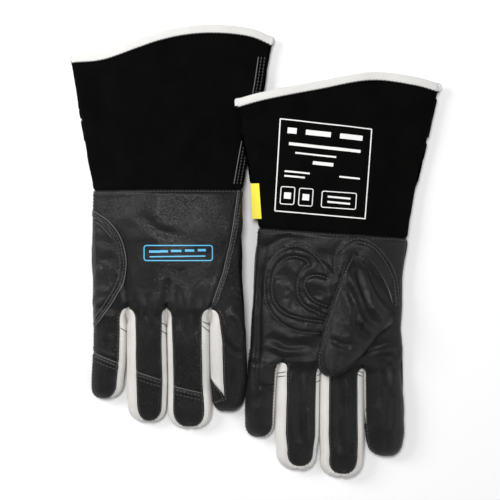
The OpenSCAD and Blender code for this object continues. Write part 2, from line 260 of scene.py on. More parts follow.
def table(y, rows, col):
    """A column of rows keyed by falling y."""
    return np.interp(-np.asarray(y, float), [-r[0] for r in rows], [r[col] for r in rows])


def outer_edges(g, y):
    """The pinky and index edges of the hand behind the crotches."""
    lo = [(0, -65.5), (-50, -66), (-80, -65.5), (-100, STALLS[g][PINKY][0][0][1])]
    hi = [(0, 66), (-40, 64.5), (-80, 65), (-100, STALLS[g][INDEX][0][0][2])]
    return table(y, lo, 1), table(y, hi, 1)


def join_x(g, face, k, y):
    line = JOINS[face][k]
    at_crotch = (STALLS[g][k][0][0][1] + STALLS[g][k + 1][0][0][2]) / 2
    return table(y, line[:-1] + [(line[-1][0], at_crotch)], 1)


ARCH, ARCH_LONG = 8.0, {BACK: 9.0, PALM: 6.5}   # most white on one side of a crotch, and the arch's height


def arch_rise(face, y):
    """How far the round top of a crotch's white arch has opened at y, from 0 to 1."""
    start = CROTCH_BACK if face == BACK else CROTCH_PALM
    return np.sqrt(1 - (1 - np.clip((start - y) / ARCH_LONG[face], 0, 1)) ** 2)


def crotch_shift(face, k, y):
    """Moves the edge between stalls k and k + 1 at a crotch, to centre the arch of white on its top."""
    start = CROTCH_BACK if face == BACK else CROTCH_PALM
    lean = (min(WHITE[face][k][0], ARCH) - min(WHITE[face][k + 1][1], ARCH)) / 2
    return lean * (1 - arch_rise(face, y)) * (1 - smooth((y - start) / 30))


def own_edge(g, i, side, y):
    """A stall's left or right edge, shared with its neighbour as far as the palm's crotch."""
    own = table(y, STALLS[g][i][0], 1 + side)
    other = i + 1 if side == 0 else i - 1
    if not 0 <= other < 4:
        return own
    both = (own + table(y, STALLS[g][other][0], 2 - side)) / 2
    t = smooth((CROTCH_PALM - y) / 3)
    return both * (1 - t) + own * t


def stall_edges(g, i, face, y):
    """Left and right edge of strip i at y, and its closing factor at the tip."""
    y = np.asarray(y, float)
    tip = STALLS[g][i][1]
    lo, hi = outer_edges(g, y)
    bl = lo if i == PINKY else join_x(g, face, i, y)
    br = hi if i == INDEX else join_x(g, face, i - 1, y)
    fl, fr = own_edge(g, i, 0, y), own_edge(g, i, 1, y)
    if i < PINKY:
        shift = crotch_shift(face, i, y)
        bl, fl = bl + shift, fl + shift
    if i > INDEX:
        shift = crotch_shift(face, i - 1, y)
        br, fr = br + shift, fr + shift
    ahead = smooth((-y - 99) / 6)
    left, right = bl * (1 - ahead) + fl * ahead, br * (1 - ahead) + fr * ahead
    u = np.clip((-y - (-tip[1] - CLOSE_LEN[i])) / CLOSE_LEN[i], 0, 1)
    close = (1 - u ** 2.4) ** (1 / 2.4)
    mid = (left + right) / 2
    mid = mid + (tip[0] - mid) * u ** 1.6
    half = (right - left) / 2 * close
    return mid - half, mid + half, close


def dome(q, n):
    return (1 - np.minimum(np.abs(q), 1) ** n) ** (1 / n)


def hand_dome(g, face, x, y):
    lo, hi = outer_edges(g, y)
    q = (x - (lo + hi) / 2) / ((hi - lo) / 2)
    return half_h(g, face) * np.minimum(1, 1.05 * dome(q, HAND_N))


def glove_pt(g, i, face, q, y):
    """A point of strip i: q runs from -1 at its left edge to 1 at its right edge."""
    left, right, _ = stall_edges(g, i, face, y)
    x = (left + right) / 2 + (right - left) / 2 * q
    fall = {BACK: smooth((-y - 101.5) / 9), PALM: smooth((-y - 111.5) / 10)}
    taper = 1 - 0.1 * smooth((-y - 120) / 80)
    u = np.clip((-y + STALLS[g][i][1][1] + 13) / 13, 0, 1)
    high = half_h(g, face) * 0.88 * taper * (1 - u ** 2.2) ** (1 / 2.2)
    z = hand_dome(g, face, x, y) * (1 - fall[face]) + high * dome(q, FINGER_N) * fall[face]
    z = face * z
    if face == BACK:                        # the side walls reach the palm leather where it is still joined
        z = z + (1 - fall[PALM]) * hand_dome(g, PALM, x, y) * np.abs(q) ** 10 * smooth((-y - 97) / 6)
    droop = 3 * smooth((-y + STALLS[g][i][1][1] + 28) / 28)
    z = z + (-droop if g == LEFT else droop)
    return np.stack([x, np.broadcast_to(y, x.shape), z], -1)


# ---- patches: grids of points that share edges
LEATHER_T, CUFF_T, WHITE_T, TAPE_T = 1.2, 1.5, 1.1, 0.7


class Patch:
    """A grid of points in the glove's frame: part of a piece, with its outside towards out.

    Borders are r0, r1 (first, last row) and c0, c1 (columns). Grooves are the sewn ones and rims those with a
    cut edge. shape gives the displacement along the normal; a late groove starts only ahead of start.
    """

    def __init__(self, g, piece, pts, out, grooves=(), rims=("r0", "r1", "c0", "c1"), thick=LEATHER_T,
                 face=None, shape=None):
        self.g, self.piece, self.p, self.grooves, self.rims = g, piece, np.array(pts, float), grooves, rims
        self.thick, self.face, self.shape = thick, face, shape
        self.start, self.late = 0.0, ()
        a = self.p[1:, :-1] - self.p[:-1, :-1]
        b = self.p[:-1, 1:] - self.p[:-1, :-1]
        n = np.cross(b, a).reshape(-1, 3).sum(0)
        self.flip = bool(np.dot(n, out) < 0)
        rows, cols = self.p.shape[:2]
        r, c = np.meshgrid(np.arange(rows - 1), np.arange(cols - 1), indexing="ij")
        k = (r * cols + c).ravel()
        q = np.stack([k, k + 1, k + cols + 1, k + cols], 1)
        self.quads = q[:, ::-1] if self.flip else q


def shared_normals(patches, pos):
    """Vertex normals that agree wherever patches meet."""
    pts, quads = joined([(p.reshape(-1, 3), patch.quads) for patch, p in zip(patches, pos)])
    key = np.unique(np.round(pts / 0.03).astype(np.int64), axis=0, return_inverse=True)[1].ravel()
    v = pts[quads]
    fn = np.cross(v[:, 2] - v[:, 0], v[:, 3] - v[:, 1])
    acc = np.zeros((key.max() + 1, 3))
    for k in range(4):
        np.add.at(acc, key[quads[:, k]], fn)
    n = unit(acc[key])
    out, base = [], 0
    for p in pos:
        m = p.reshape(-1, 3).shape[0]
        out.append(n[base:base + m].reshape(p.shape))
        base += m
    return out


GROOVE, GROOVE_W = 1.0, 1.5


def border_distance(p, side):
    """Distance over the grid from one border."""
    axis = 0 if side[0] == "r" else 1
    step = np.linalg.norm(np.diff(p, axis=axis), axis=-1)
    run = np.cumsum(step, axis=axis)
    zero = np.zeros_like(run[:1] if axis == 0 else run[:, :1])
    run = np.concatenate([zero, run], axis=axis)
    if side[1] == "1":
        run = (run[-1:] if axis == 0 else run[:, -1:]) - run
    return run


def settle(patches):
    """Adds creases and sewn grooves to patches that meet, then returns their world points and normals."""
    pos = [p.p for p in patches]
    nrm = shared_normals(patches, pos)
    out = []
    for patch, p, n in zip(patches, pos, nrm):
        d = patch.shape(patch, p) if patch.shape else np.zeros(p.shape[:2])
        for side in patch.grooves:
            r = border_distance(p, side)
            sunk = -GROOVE * np.exp(-(r / GROOVE_W) ** 2) + 0.35 * np.exp(-((r - 3.6) / 1.9) ** 2)
            if side in patch.late:
                sunk = sunk * smooth((patch.start + 1 - p[..., 1]) / 5)
            d = d + sunk
        out.append(p + n * d[..., None])
    world = []
    for patch, p in zip(patches, out):
        w = place(patch.g, p)
        w[..., 2] = np.maximum(w[..., 2], 0.0002)
        world.append(w)
    for patch in patches:
        if patch.g == RIGHT:
            patch.quads = patch.quads[:, ::-1]
    scaled = shared_normals(patches, [w / MM for w in world])
    return world, scaled


def mesh_object(name, verts, faces, normals=None):
    verts = np.array(verts)
    verts[:, 2] = np.maximum(verts[:, 2], 0.0001)
    me = bpy.data.meshes.new(name)
    me.from_pydata([tuple(v) for v in verts], [], [tuple(int(i) for i in f) for f in faces])
    me.polygons.foreach_set("use_smooth", [True] * len(me.polygons))
    if normals is not None:
        me.normals_split_custom_set([tuple(n) for n in normals])
    ob = bpy.data.objects.new(name, me)
    bpy.context.scene.collection.objects.link(ob)
    return ob


def shell(name, patches, world, normals):
    """One leather piece: the outer skin, the inner one, and the cut edges."""
    verts, faces, loops, base = [], [], [], 0
    for patch, w, n in zip(patches, world, normals):
        rows, cols = w.shape[:2]
        outer, nn = w.reshape(-1, 3), n.reshape(-1, 3)
        inner = outer - nn * patch.thick * MM
        m = len(outer)
        verts += [outer, inner]
        q = patch.quads
        faces += [q + base, q[:, ::-1] + base + m]
        loops += [nn[q].reshape(-1, 3), -nn[q[:, ::-1]].reshape(-1, 3)]
        lines = {"r0": np.arange(cols), "r1": (rows - 1) * cols + np.arange(cols)[::-1],
                 "c0": (np.arange(rows) * cols)[::-1], "c1": np.arange(rows) * cols + cols - 1}
        for side in patch.rims:
            k = lines[side]
            if patch.flip != (patch.g == RIGHT):
                k = k[::-1]
            f = np.stack([k[1:], k[:-1], k[:-1] + m, k[1:] + m], 1)
            both = np.concatenate([outer, inner])
            v = both[f]
            fn = np.cross(v[:, 2] - v[:, 0], v[:, 3] - v[:, 1])
            fn /= np.maximum(np.linalg.norm(fn, axis=1, keepdims=True), 1e-12)
            faces.append(f + base)
            loops.append(np.repeat(fn, 4, axis=0))
        base += 2 * m
    return mesh_object(name, np.concatenate(verts), np.concatenate(faces), np.concatenate(loops))


# ---- patches of one glove
COLS, WALL_COLS, HAND_ROWS, CUFF_ROWS, CUFF_COLS = 24, 9, 72, 84, 90


def across(y, n=COLS):
    """The values of y as a column, repeated over n columns."""
    return np.repeat(y[:, None], n, 1)


def q_between(q0, q1, n=COLS):
    """q from q0 to q1, evenly in the section's angle, per row of the arrays q0 and q1."""
    a0, a1 = np.arccos(np.clip(q0, -1, 1)), np.arccos(np.clip(q1, -1, 1))
    t = np.linspace(0, 1, n)
    return np.cos(a0[:, None] * (1 - t) + a1[:, None] * t)


def hand_relief(patch, p):
    return relief(patch.g, patch.face, p[..., 0], p[..., 1], CREASES) * smooth((-p[..., 1] + 2) / 10)


def finger_relief(patch, p):
    soft = 1 - 0.45 * smooth((-p[..., 1] - 110) / 25)
    return relief(patch.g, patch.face, p[..., 0], p[..., 1], CREASES, soft)


def white_width(i, face, side, y):
    """Visible width of the white strip at y, for the left (0) or right (1) side of a stall."""
    full = WHITE[face][i][side]
    start = CROTCH_BACK if face == BACK else CROTCH_PALM
    arch = min(full, ARCH)
    width = arch * arch_rise(face, y)
    width = width + (full - arch) * smooth((start - y - 1) / 32)
    if i == INDEX and face == BACK:
        return width * (1 - smooth((LENS[1] - y) / 6))
    return width


def black_edge(g, i, face, side, y, half, close):
    """Where the grain leather ends across a stall, from 0 at its middle to 1 at its edge."""
    if WHITE[face][i][side] == 0:
        return np.ones(len(y))
    full = half / np.maximum(close, 1e-6)
    reach = CLOSE_LEN[i] - RIM[face][i]
    u = np.clip((-y + STALLS[g][i][1][1] + CLOSE_LEN[i]) / reach, 0, 1)
    inner = (1 - u ** 2.4) ** (1 / 2.4)
    inner = np.minimum(inner / np.maximum(close, 1e-6), 1)
    return np.clip((1 - white_width(i, face, side, y) / full) * inner, 0, 1)


def finger_patches(g, i):
    tip = STALLS[g][i][1][1]
    name = SIDES[g] + "_" + FINGERS[i]
    t = np.linspace(0, 1, 50)
    fine = np.array([0, 0.15, 0.4, 0.8, 1.4, 2.2, 3.2, 4.4, 5.8, 7.5, 9.2, 10.9])
    rest = CROTCH_PALM - 9
    ys = np.concatenate([CROTCH_BACK - fine, CROTCH_PALM - fine[:-2],
                         rest + (tip - rest) * (0.75 * t + 0.25 * np.sin(t * math.pi / 2))])
    ys[-1] = tip
    made = []
    bounds = {}
    for face in (BACK, PALM):
        left, right, close = stall_edges(g, i, face, ys)
        half = np.maximum((right - left) / 2, 1e-6)
        ql = -black_edge(g, i, face, 0, ys, half, close)
        qr = black_edge(g, i, face, 1, ys, half, close)
        bounds[face] = (ql, qr)
        q = q_between(ql, qr)
        pts = glove_pt(g, i, face, q, across(ys))
        seams = [c for side, c in enumerate(("c0", "c1")) if WHITE[face][i][side] > 0]
        if i == PINKY:
            seams.append("c0")
        out = (0, 0, face)
        what = "stall" if i == INDEX else ("palm" if face == PALM else "back")
        if face == PALM or i == INDEX:
            made.append(Patch(g, name + "_" + what, pts, out, seams, seams, face=face, shape=finger_relief))
        else:
            cut = int(np.argmin(np.abs(ys - CAP_AT[i])))
            lean = CAP_LEAN[i] * np.exp(-((ys - ys[cut]) / 14) ** 2)
            y = ys[:, None] + lean[:, None] * half[:, None] * q
            y[0], y[-1] = ys[0], ys[-1]
            pts = glove_pt(g, i, face, q, y)
            for word, grid, end in (("_back", pts[:cut + 1], "r1"), ("_cap", pts[cut:], "r0")):
                made.append(Patch(g, name + word, grid, out, seams + [end], seams + [end], face=face,
                                  shape=finger_relief))
    for side, sign in ((0, -1), (1, 1)):
        if WHITE[BACK][i][side] == 0 and WHITE[PALM][i][side] == 0:
            continue
        edge = np.full(len(ys), float(sign))
        a, b = [glove_pt(g, i, face, q_between(bounds[face][side], edge, WALL_COLS), across(ys, WALL_COLS))
                for face in (BACK, PALM)]
        mid = (a[:, -1] + b[:, -1]) / 2
        a[:, -1] = b[:, -1] = mid
        pts = np.concatenate([a, b[:, ::-1][:, 1:]], 1)
        # between the two crotches, the strip is tucked under the palm
        tuck = 1 - 0.3 * smooth((ys[:, None] - CROTCH_PALM - 0.3) / 3)
        pts[..., 2] = np.where(pts[..., 2] * PALM > 0, pts[..., 2] * tuck, pts[..., 2])
        if i == INDEX:                      # the stall's leather comes round and closes the white to a point
            part = 1 - smooth((LENS[0] - ys) / (LENS[0] - LENS[1])) ** 0.8
            first = int(np.argmax(part < 1)) - 1
            cols = np.linspace(0, 1, 17)
            own = np.linspace(0, 1, pts.shape[1])
            rest = np.array([points_at(part[r] + (1 - part[r]) * cols, own, pts[r])
                             for r in range(first, len(ys))])
            pts = np.array([points_at(part[r] * cols, own, pts[r]) for r in range(len(ys))])
            made.append(Patch(g, name + "_stall", rest, (sign, 0, 0), ["c0"], ["c0", "r0"], face=BACK))
        sewn = ["c0", "c1"]
        made.append(Patch(g, name + "_fourchette", pts, (sign, 0, 0), sewn, sewn, WHITE_T, BACK))
    for patch in made:
        patch.start = CROTCH_PALM if patch.face == PALM else CROTCH_BACK
        if "fourchette" not in patch.piece and patch.rims != ["c0", "r0"]:
            patch.late = [c for k, c in enumerate(("c0", "c1")) if WHITE[patch.face][i][k] > 0]
    return made


CAP_AT = {MIDDLE: -175, RING: -160.5, PINKY: -148}
CAP_LEAN = {MIDDLE: -0.24, RING: -0.33, PINKY: -0.38}


def hand_patches(g):
    made = []
    ys = CROTCH_BACK * np.linspace(0, 1, HAND_ROWS)
    q = q_between(np.full(HAND_ROWS, -1.0), np.full(HAND_ROWS, 1.0))
    for face in (BACK, PALM):
        for i in range(4):
            piece = "_palm_panel" if face == PALM or i == INDEX else "_back_panel"
            seams = ["r0"]
            if i == PINKY or (face == BACK and i == INDEX):
                seams.append("c0")
            if face == BACK and i == MIDDLE:
                seams.append("c1")
            pts = glove_pt(g, i, face, q, across(ys))
            made.append(Patch(g, SIDES[g] + piece, pts, (0, 0, face), seams, seams, face=face,
                              shape=hand_relief))
    return made


# The cuff: its edges, its opening, and its half heights at the opening.
CUFF_LEFT = [[(0, -65.5), (113, -84.5), (150, -88)], [(0, -65.5), (54, -78), (84, -87), (110, -92), (150, -96)]]
CUFF_RIGHT = [[(0, 66), (90, 84.5), (129, 92), (150, 95)], [(0, 66), (41, 70), (90, 78), (131, 84), (150, 87)]]
CUFF_TOP = [[(-88, 119), (-56, 121.5), (-5, 137.5), (32, 143.5), (70, 142), (94, 134.5)],
            [(-94, 110), (-70, 117.5), (-17.5, 131.5), (25, 142), (62, 141), (86, 137)]]
CUFF_N, CUFF_REST, CUFF_CROWN = 1.7, 6.0, 12.0


def cuff_pt(g, face, q, v):
    top = spline(CUFF_TOP[g], 4)
    y = v * np.interp((top[0, 0] + top[-1, 0]) / 2 + (top[-1, 0] - top[0, 0]) / 2 * q, top[:, 0], top[:, 1])
    lo = np.interp(y, [r[0] for r in CUFF_LEFT[g]], [r[1] for r in CUFF_LEFT[g]])
    hi = np.interp(y, [r[0] for r in CUFF_RIGHT[g]], [r[1] for r in CUFF_RIGHT[g]])
    x = (lo + hi) / 2 + (hi - lo) / 2 * q
    e = smooth(v * 2)
    n = HAND_N + (CUFF_N - HAND_N) * e
    up = (face == PALM) == (g == LEFT)
    h = half_h(g, face) * (1 - v) + (CUFF_CROWN if up else CUFF_REST) * v
    z = h * np.minimum(1, (1.05 - 0.05 * e) * dome(q, n))
    shift = 0.95 * v * (-1 if g == LEFT else 1)
    return np.stack([x, y, face * z + shift], -1)


def cuff_relief(patch, p):
    d = relief(patch.g, patch.face, p[..., 0], p[..., 1], CUFF_FOLDS, 0.9)
    x, y = p[..., 0], p[..., 1]
    wave = 0.9 * np.sin(x / 17 + 1.3 * patch.g + 0.8 * noise(x, y, 40, 5)) * smooth((y - 30) / 80)
    pucker = 0.35 * np.sin(x / 2.6 + 2 * noise(x, y, 12, 9)) * np.exp(-(y / 9) ** 2)
    return (d + wave * 0.6) * smooth((y + 1) / 12) * 0.9 + pucker


def cuff_patches(g):
    made = []
    vs = np.linspace(0, 1, CUFF_ROWS)
    q = q_between(np.full(CUFF_ROWS, -1.0), np.full(CUFF_ROWS, 1.0), CUFF_COLS)
    for face, piece in ((BACK, "_cuff_back"), (PALM, "_cuff_palm")):
        made.append(Patch(g, SIDES[g] + piece, cuff_pt(g, face, q, across(vs, CUFF_COLS)), (0, 0, face),
                          ["r0", "c0", "c1"], ["r0", "r1", "c0", "c1"], CUFF_T, face, cuff_relief))
    return made


# ---- materials
def node_tree(name):
    m = bpy.data.materials.new(name)
    m.use_nodes = True
    nt = m.node_tree
    return m, nt, nt.nodes["Principled BSDF"]


def add(nt, kind, **sockets):
    n = nt.nodes.new(kind)
    for k, v in sockets.items():
        n.inputs[k.replace("_", " ")].default_value = v
    return n


def leather(name, low, high, rough, grain, bump, spec=0.5):
    """Hide with pores and small cells: grain is the cell size in metres."""
    m, nt, bsdf = node_tree(name)
    link = nt.links.new
    coord = nt.nodes.new("ShaderNodeTexCoord")
    cells = add(nt, "ShaderNodeTexVoronoi", Scale=1 / grain)
    cells.feature = "DISTANCE_TO_EDGE"
    pores = add(nt, "ShaderNodeTexNoise", Scale=1 / (grain * 0.6), Detail=4.0, Roughness=0.6)
    broad = add(nt, "ShaderNodeTexNoise", Scale=45.0, Detail=5.0, Roughness=0.55)
    for n in (cells, pores, broad):
        link(coord.outputs["Object"], n.inputs["Vector"])
    ramp = nt.nodes.new("ShaderNodeValToRGB")
    ramp.color_ramp.elements[0].position, ramp.color_ramp.elements[1].position = 0.3, 0.72
    ramp.color_ramp.elements[0].color, ramp.color_ramp.elements[1].color = (*low, 1), (*high, 1)
    link(broad.outputs["Fac"], ramp.inputs["Fac"])
    link(ramp.outputs["Color"], bsdf.inputs["Base Color"])
    edge = add(nt, "ShaderNodeMapRange", From_Min=0.0, From_Max=0.12, To_Min=0.0, To_Max=1.0)
    link(cells.outputs["Distance"], edge.inputs["Value"])
    mix = nt.nodes.new("ShaderNodeMath")
    mix.operation = "MULTIPLY_ADD"
    mix.inputs[1].default_value = 0.6
    link(pores.outputs["Fac"], mix.inputs[0])
    link(edge.outputs["Result"], mix.inputs[2])
    b = add(nt, "ShaderNodeBump", Strength=bump, Distance=grain * 0.35)
    link(mix.outputs["Value"], b.inputs["Height"])
    link(b.outputs["Normal"], bsdf.inputs["Normal"])
    r = add(nt, "ShaderNodeMapRange", To_Min=rough - 0.08, To_Max=rough + 0.1)
    link(broad.outputs["Fac"], r.inputs["Value"])
    link(r.outputs["Result"], bsdf.inputs["Roughness"])
    bsdf.inputs["Specular IOR Level"].default_value = spec
    return m


def plain(name, colour, rough, weave=0.0):
    """One colour, with a fine weave of the given size in metres."""
    m, nt, bsdf = node_tree(name)
    bsdf.inputs["Base Color"].default_value = (*colour, 1)
    bsdf.inputs["Roughness"].default_value = rough
    if weave:
        coord = nt.nodes.new("ShaderNodeTexCoord")
        n = add(nt, "ShaderNodeTexNoise", Scale=1 / weave, Detail=3.0)
        b = add(nt, "ShaderNodeBump", Strength=0.5, Distance=weave * 0.3)
        nt.links.new(coord.outputs["Object"], n.inputs["Vector"])
        nt.links.new(n.outputs["Fac"], b.inputs["Height"])
        nt.links.new(b.outputs["Normal"], bsdf.inputs["Normal"])
    return m


MAT = {
    "grain_leather": leather("grain_leather", (0.004, 0.004, 0.0038), (0.010, 0.0098, 0.0092), 0.30, 0.0012,
                             0.8, 0.36),
    "cuff_suede": leather("cuff_suede", (0.0012, 0.0012, 0.0011), (0.0032, 0.0031, 0.0029), 0.95, 0.0009,
                          0.8, 0.06),
    "white_leather": leather("white_leather", (0.64, 0.62, 0.59), (0.72, 0.70, 0.675), 0.6, 0.0011, 0.4),
    "binding_leather": leather("binding_leather", (0.70, 0.69, 0.665), (0.76, 0.75, 0.725), 0.6, 0.0010, 0.4),
    "pad_foam": plain("pad_foam", (0.2, 0.2, 0.19), 0.9, 0.0006),
    "tab_fabric": plain("tab_fabric", (0.90, 0.78, 0.05), 0.6, 0.0005),
}
THREAD = plain("thread_dark", (0.06, 0.06, 0.058), 0.38, 0.0003)
# Light grey for the edge ridges: a painted highlight along the rolled seam edges
PAINTED_EDGE_HIGHLIGHT = plain("edge_painted_highlight", (0.11, 0.11, 0.105), 0.6, 0.0004)
INK_BLUE = plain("ink_blue", (0.075, 0.44, 0.72), 0.45, 0.0006)
INK_WHITE = plain("ink_white", (0.82, 0.82, 0.8), 0.6, 0.0006)


def finish_piece(ob, slot, mat=None):
    ob.data.materials.append(mat or MAT[slot])
    return ob


def attach(ob, g, kind):
    """kind is 'hand', 'thumb' or a finger's number."""
    hand = SIDES[g] + "_hand"
    if kind == "hand":
        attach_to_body(ob, hand)
        return ob
    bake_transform(ob)
    return ob


# ---- pieces that lie on the shells
def skin(g, face, x, y):
    """Height of the outer skin over points of the plan, in the glove's own frame."""
    p = place(g, np.stack([x, y, 0 * x], -1)).reshape(-1, 3)
    up = (face == PALM) == (g == LEFT)
    z = []
    for q in p:
        hit = TREES[g].ray_cast((q[0], q[1], 0.3 if up else -0.1), (0, 0, -1 if up else 1))[0]
        z.append(q[2] if hit is None else hit[2])
    z = np.array(z).reshape(x.shape) / MM - REST_H - lift(g, x, y)
    return z if g == LEFT else -z


def widen(g, patches, world):
    """Adds laid pieces to the skin that later ones lie on."""
    for patch, w in zip(patches, world):
        SKINS[g].append((w.reshape(-1, 3), patch.quads))
    pts, quads = joined(SKINS[g])
    TREES[g] = BVHTree.FromPolygons([tuple(p) for p in pts], [tuple(int(k) for k in q) for q in quads])


def even(pts, n):
    p = spline(pts, 0.5)
    run = run_along(p)
    return points_at(np.linspace(0, run[-1], n), run, p)


def between(a, b, n, m):
    """A grid of plan points from curve a to curve b."""
    a, b = even(a, n)[:, None], even(b, n)[:, None]
    t = np.linspace(0, 1, m)[None, :, None]
    g = a * (1 - t) + b * t
    return g[..., 0], g[..., 1]


def laid(g, piece, face, xy, shape):
    x, y = xy
    pts = np.stack([x, y, skin(g, face, x, y)], -1)
    return Patch(g, SIDES[g] + "_" + piece, pts, (0, 0, face), face=face, shape=shape)


# Sewn rows of the palm pads and the side patch, in the plan.
HEEL_EDGE = [(3, -31), (-4, -24.5), (-14.5, -16.5), (-26, -11.5), (-38, -11.8), (-50.6, -20), (-58, -34),
             (-59, -52), (-57, -65.5), (-50, -77), (-40, -85), (-25.5, -90.5), (-5, -91.2), (6, -90)]
HEEL_INNER = [(8, -40), (10, -62), (10, -84)]
HEEL_ROWS = [[(-4, -35.7), (-6.7, -29), (-15.8, -19.4), (-25.8, -14.5), (-36.7, -14.6), (-48.5, -22.3),
              (-55.2, -35.2), (-56.1, -51.7), (-54.1, -64), (-47.6, -74.5), (-38.7, -82.2), (-24.7, -87.5),
              (-5.3, -88.1)],
             [(-19.2, -28.4), (-23.6, -24), (-36, -23.4), (-46.7, -31.8), (-49.7, -44.4), (-48.8, -58.1),
              (-42.5, -68.7), (-32.5, -74.2), (-18.8, -76.7), (-3.3, -77.6)],
             [(-19.2, -28.4), (-24.5, -33), (-27.8, -42.9), (-26.9, -55.3), (-20.7, -64.4), (-12.3, -68.5),
              (-2.3, -72.8)],
             [(-4, -39.1), (-11.6, -37.6), (-19.7, -39.6), (-22.1, -45.2), (-19.7, -51.9), (-12.9, -59.7),
              (-0.3, -64.2)]]
THENAR_EDGE = [(1.5, -36), (1, -14.5), (9.7, -4.4), (23.1, 0), (40.2, -5.2), (52.6, -17.6), (59.8, -31.6),
               (62.4, -47), (62.8, -58)]
THENAR_INNER = [(10, -36), (11, -23), (17, -17.5), (24, -17), (33, -20), (42, -30), (50, -42), (55, -54),
                (58, -63)]
THENAR_ROWS = [[(3.4, -34), (4, -16.4), (11.6, -8), (23.1, -3.4), (38.2, -8.6), (49.7, -20), (57.6, -33),
                (61, -47.6), (62.4, -60)],
               [(6.6, -30), (7.2, -18), (13.6, -11), (23.1, -6.6), (36.5, -11), (47, -22), (54.6, -34.6),
                (58, -48), (59.4, -60)]]
SIDE_EDGE = [(-66, -17), (-58, -22), (-50, -27.5), (-40, -41), (-35, -59), (-36, -75), (-42, -89),
             (-52, -105), (-62.5, -119)]


def stitched(p, edge, rise, reach, rows, depths, width):
    """Height of a pad over the skin: it rises from its edge and dips along its sewn rows."""
    x, y = p[..., 0], p[..., 1]
    h = 1.0 + rise * smooth(away(x, y, edge)[0] / reach)
    for line, deep in zip(rows, depths):
        h -= deep * np.exp(-(away(x, y, spline(line, 3))[0] / width) ** 2)
    return h


def heel_shape(patch, p):
    x, y = p[..., 0], p[..., 1]
    h = stitched(p, HEEL_EDGE, 2.2, 6, HEEL_ROWS, (0.5, 1.7, 1.7, 1.5), 1.6)
    return h + 0.4 * noise(x, y, 9, 31) + 0.2 * noise(x, y, 4, 32)


def thenar_shape(patch, p):
    return (stitched(p, THENAR_EDGE, 1.5, 5, THENAR_ROWS, (0.6, 0.6), 1.1)
            + 0.4 * noise(p[..., 0], p[..., 1], 8, 33))


def side_shape(patch, p):
    x, y = p[..., 0], p[..., 1]
    r = away(x, y, SIDE_EDGE)[0]
    h = 1.1 - 0.45 * np.exp(-((r - 2.6) / 1.0) ** 2) - 0.45 * np.exp(-((r - 6) / 1.0) ** 2)
    wrinkle = 0.7 * np.sin(y / 3.1 + 0.09 * x + 2.2 * noise(x, y, 14, 37)) * noise(x, y, 17, 38)
    h = h + wrinkle * smooth((r - 7) / 4)
    return 0.15 + h * smooth((x - outer_edges(patch.g, y)[0] - 0.2) / 4)


def build_patches(g):
    heel = laid(g, "heel_pad", PALM, between(HEEL_EDGE, HEEL_INNER, 190, 64), heel_shape)
    thenar = laid(g, "thenar_pad", PALM, between(THENAR_EDGE, THENAR_INNER, 150, 22), thenar_shape)
    y = [p[1] for p in SIDE_EDGE]
    rim = [(float(outer_edges(g, v)[0]) + 0.35, v) for v in np.linspace(y[0] - 1, y[-1] + 1, 12)]
    side = laid(g, "side_patch", BACK, between(SIDE_EDGE, rim, 150, 46), side_shape)
    foams = []
    for pad, shape in ((heel, heel_shape), (thenar, thenar_shape)):
        foam = laid(g, "palm_foam", PALM, (pad.p[..., 0], pad.p[..., 1]),
                    lambda patch, p, f=shape: np.maximum(f(patch, p) - 1.25, 0.02) * smooth(patch.inset / 3))
        foam.inset = np.minimum.reduce([border_distance(pad.p, s) for s in ("r0", "r1", "c0", "c1")])
        foam.thick = np.maximum(foam.shape(foam, foam.p), 0.01).reshape(-1, 1)
        foams.append(foam)
    return [heel, thenar, side], foams


# The thumb's stall: its far and near edge over the palm, from the base line to the tip.
THUMB_FAR = [(18, -13), (11, -33), (5.9, -51.4), (1.5, -68), (-1.8, -81), (-4.6, -97), (-5.9, -110.4),
             (-2.6, -119.5), (4, -124.4)]
THUMB_NEAR = [(62.5, -66), (56, -75), (47.7, -82), (41.5, -90), (35.7, -98.7), (28, -109), (18.6, -119),
              (12, -123), (6.5, -124.6)]
THUMB_H = [9.5, 10.5]
THUMB_N, THUMB_COLS, WELT_POINTS = 76, 44, 110
WELT_HOOK = [(21, -20.5), (21, -14.5), (17, -13.4), (12.5, -17)]
THUMB_FOLDS = {PALM: [
    ([(19, -30), (30, -50), (37, -66), (48, -74)], 2.0, 3.0), ([(30, -26), (42, -44), (56, -62)], 1.6, 3.4),
    ([(14, -44), (24, -60), (30, -76)], 1.1, 3.4), ([(22, -72), (30, -84), (40, -88)], 0.9, 3.0),
    ([(2, -92), (12, -96), (24, -95)], 0.7, 3.0)]}
PERP = np.array([-0.773, -0.634])            # across the base line, towards the tip
BASE_MID = np.array([39.5, -40.0])


def thumb_pt(g, far, near, q, up):
    mid, half = (far + near) / 2, (near - far) / 2
    p = mid[:, None] + half[:, None] * q[None, :, None]
    x, y = p[..., 0], p[..., 1]
    inside = (x - BASE_MID[0]) * PERP[0] + (y - BASE_MID[1]) * PERP[1]
    rise = smooth((inside + 1) / 20)
    width = np.linalg.norm(near - far, axis=1)[:, None]
    k = np.sqrt(np.clip(1 - (1 - np.clip(width / 24, 0, 1)) ** 2, 0, 1))
    low = hand_dome(g, PALM, np.minimum(x, 58), y) + 2.4 + 1.4 * rise
    tall = (1.4 + (THUMB_H[g] - 1.4) * rise) * k
    z = low + tall * 0.42 + (0.58 if up else -0.42) * tall * dome(q[None], 2.3)
    return np.stack([x, y, z], -1)


def thumb_relief(patch, p):
    x, y = p[..., 0], p[..., 1]
    d = relief(patch.g, PALM, x, y, THUMB_FOLDS, 0.8)
    far, near = away(x, y, THUMB_FAR)[0], away(x, y, THUMB_NEAR)[0]
    return d * smooth(np.minimum(far, near) / 5) - 0.7 * np.exp(-((far - 3.2) / 1.1) ** 2)


